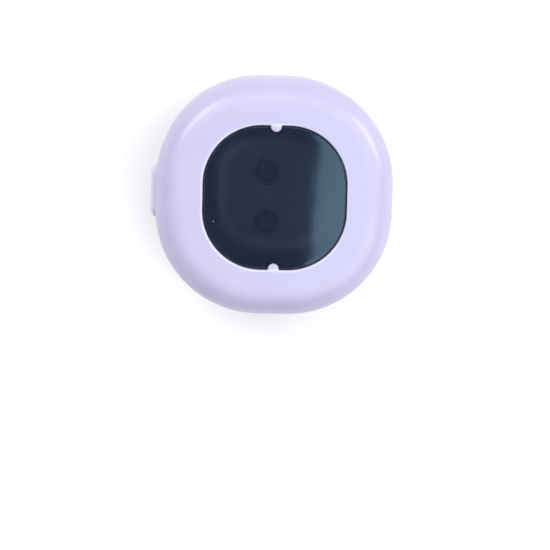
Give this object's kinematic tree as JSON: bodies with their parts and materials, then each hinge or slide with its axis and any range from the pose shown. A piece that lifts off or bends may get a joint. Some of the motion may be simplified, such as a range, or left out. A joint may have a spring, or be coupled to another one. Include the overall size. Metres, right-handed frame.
{
  "type": "toothbrush sterilizer",
  "caption": "Hinged rounded-square pocket sterilizer case with a tinted window, an ultraviolet chamber for a brush head, a neck slot and a spring loaded release button",
  "frame": {"origin": "centre of the back cover's flat face, which the case rests on", "axes": "+X to the hinge side, +Y up the front face, +Z out through the window"},
  "size_m": [0.0512, 0.05, 0.028],
  "materials": {
    "shell": "satin lilac moulding",
    "liner": "metallised reflector",
    "window": "dark blue tint, polished",
    "steel": "plated",
    "seal": "soft silicone, matte",
    "board": "green solder resist",
    "cell": "foil pouch",
    "ivory": "moulded",
    "ceramic": "fired",
    "ferrite": "moulded ferrite",
    "red_lead": "insulation",
    "black_plastic": "moulded",
    "quartz": "clear, polished"
  },
  "bodies": {
    "base": {"base_shell": "shell", "back_cover": "shell", "back_screw_1": "steel", "back_screw_2": "steel", "back_screw_3": "steel", "back_screw_4": "steel", "chamber_liner": "liner", "chamber_seal": "seal", "neck_pad_base": "seal", "hinge_pin": "steel", "main_board": "board", "battery": "cell", "battery_connector": "ivory", "battery_lead_positive": "red_lead", "battery_lead_negative": "black_plastic", "controller_chip": "black_plastic", "booster_coil": "ferrite", "usb_port": "steel", "lid_sensor": "board", "uv_led_1": "ceramic", "uv_led_2": "ceramic", "uv_lens_1": "quartz", "uv_lens_2": "quartz", "light_pipe_1": "quartz", "light_pipe_2": "quartz", "button_spring_lower": "steel", "button_spring_upper": "steel"},
    "lid": {"front_cover": "shell", "window_pane": "window", "window_frame": "liner", "lid_screw_1": "steel", "lid_screw_2": "steel", "lid_screw_3": "steel", "lid_screw_4": "steel", "lid_catch": "black_plastic", "lid_magnet": "steel", "neck_pad_lid": "seal"},
    "button": {"release_button": "shell", "latch_slider": "black_plastic"}
  },
  "joints": [
    {"name": "lid_hinge", "type": "hinge", "parent": "base", "child": "lid", "pos_m": [0.0226, 0, 0.017], "axis": [0, 1, 0], "range_deg": [0, 100]},
    {"name": "button_press", "type": "slide", "parent": "base", "child": "button", "axis": [1, 0, 0], "range_m": [0, 0.0008], "stiffness_N_per_m": 1800, "springref_m": -0.0003, "deforming": ["button_spring_lower", "button_spring_upper"]}
  ]
}
